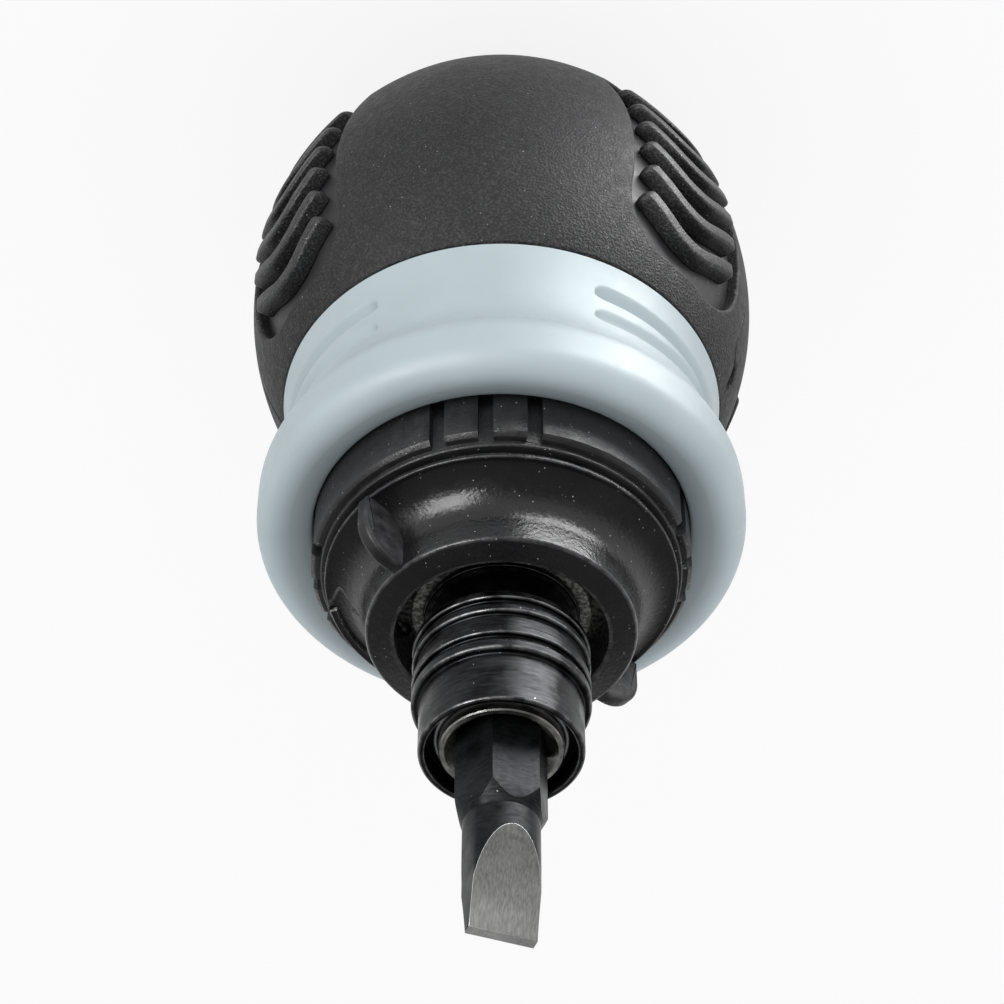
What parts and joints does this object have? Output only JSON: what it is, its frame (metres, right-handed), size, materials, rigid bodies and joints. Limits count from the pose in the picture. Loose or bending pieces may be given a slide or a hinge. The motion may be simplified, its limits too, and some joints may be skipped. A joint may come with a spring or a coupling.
{
  "type": "stubby ratcheting screwdriver",
  "caption": "Stubby ratcheting screwdriver with a slotted bit, quick-release sleeve, reversing selector ring, grey guard collar, ribbed rubber grip and a bit magazine.",
  "frame": {"origin": "centre of the end cap's flat foot, on the tool's axis, where the tool stands", "axes": "+Z along the tool's axis from the cap to the bit's tip; -Y is the upper side of the tool as the picture shows it; -X is the picture's right"},
  "size_m": [0.0434, 0.0434, 0.092],
  "materials": {
    "bit_steel": "dark satin, ground faces",
    "plated_steel": "satin nickel plating",
    "bright_steel": "bright",
    "spring_steel": "bright drawn wire",
    "black_steel": "gloss black oxide",
    "hard_steel": "hardened, satin",
    "brass": "satin",
    "cast_zinc": "rough as cast",
    "black_plastic": "semi-gloss moulded",
    "cam_plastic": "natural acetal",
    "grey_collar": "satin blue-grey",
    "core_plastic": "gloss moulded",
    "grip_rubber": "fine sandy texture",
    "cap_plastic": "satin moulded",
    "seal_rubber": "matt",
    "spare_steel": "satin"
  },
  "bodies": {
    "handle": {"handle_core": "core_plastic", "grip_shell_upper": "grip_rubber", "grip_shell_lower": "grip_rubber", "ribs_upper_left": "grip_rubber", "ribs_upper_right": "grip_rubber", "ribs_lower_left": "grip_rubber", "ribs_lower_right": "grip_rubber", "guard_collar": "grey_collar", "lock_ring": "black_plastic", "base_plate": "cast_zinc", "gear_housing": "cast_zinc", "housing_screw_front": "bright_steel", "housing_screw_rear": "bright_steel", "pawl_pin_forward": "bright_steel", "pawl_pin_reverse": "bright_steel", "selector_ball": "bright_steel", "selector_spring": "spring_steel"},
    "spindle": {"bit_holder": "plated_steel", "socket_magnet": "bright_steel", "detent_ball": "bright_steel", "sleeve_snap_ring": "bright_steel", "sleeve_spring": "spring_steel", "ratchet_gear": "hard_steel", "thrust_washer": "brass", "spindle_circlip": "hard_steel"},
    "sleeve": {"release_sleeve": "black_steel"},
    "bit": {"driver_bit": "bit_steel"},
    "selector": {"selector_ring": "black_plastic", "selector_cam": "cam_plastic"},
    "forward_pawl": {"pawl_forward": "hard_steel", "pawl_spring_forward": "spring_steel"},
    "reverse_pawl": {"pawl_reverse": "hard_steel", "pawl_spring_reverse": "spring_steel"},
    "bit_store": {"end_cap": "cap_plastic", "cap_seal": "seal_rubber", "bit_magazine": "cap_plastic", "spare_bit_1": "spare_steel", "spare_bit_2": "spare_steel", "spare_bit_3": "spare_steel", "spare_bit_4": "spare_steel", "spare_bit_5": "spare_steel", "spare_bit_6": "spare_steel"}
  },
  "joints": [
    {"name": "spindle_spin", "type": "hinge", "parent": "handle", "child": "spindle", "pos_m": [0, 0, 0.053], "axis": [0, 0, 1], "continuous": true},
    {"name": "sleeve_slide", "type": "slide", "parent": "spindle", "child": "sleeve", "axis": [0, 0, -1], "range_m": [0, 0.0032], "stiffness_N_per_m": 400, "springref_m": -0.003, "deforming": ["sleeve_spring"]},
    {"name": "bit_pull", "type": "slide", "parent": "spindle", "child": "bit", "axis": [0, 0, 1], "range_m": [0, 0.012]},
    {"name": "selector_turn", "type": "hinge", "parent": "handle", "child": "selector", "pos_m": [0, 0, 0.0575], "axis": [0, 0, 1], "range_deg": [0, 28]},
    {"name": "forward_pawl_pivot", "type": "hinge", "parent": "handle", "child": "forward_pawl", "pos_m": [-0.002, 0.00939, 0.0525], "axis": [0, 0, 1], "range_deg": [0, 10]},
    {"name": "reverse_pawl_pivot", "type": "hinge", "parent": "handle", "child": "reverse_pawl", "pos_m": [-0.002, -0.00939, 0.0525], "axis": [0, 0, 1], "range_deg": [0, 10]},
    {"name": "magazine_slide", "type": "slide", "parent": "handle", "child": "bit_store", "axis": [0, 0, -1], "range_m": [0, 0.031]}
  ],
  "couplings": [
    {"joint": "forward_pawl_pivot", "follows": "selector_turn", "ratio": 0.35714},
    {"joint": "reverse_pawl_pivot", "follows": "selector_turn", "ratio": 0.35714}
  ]
}
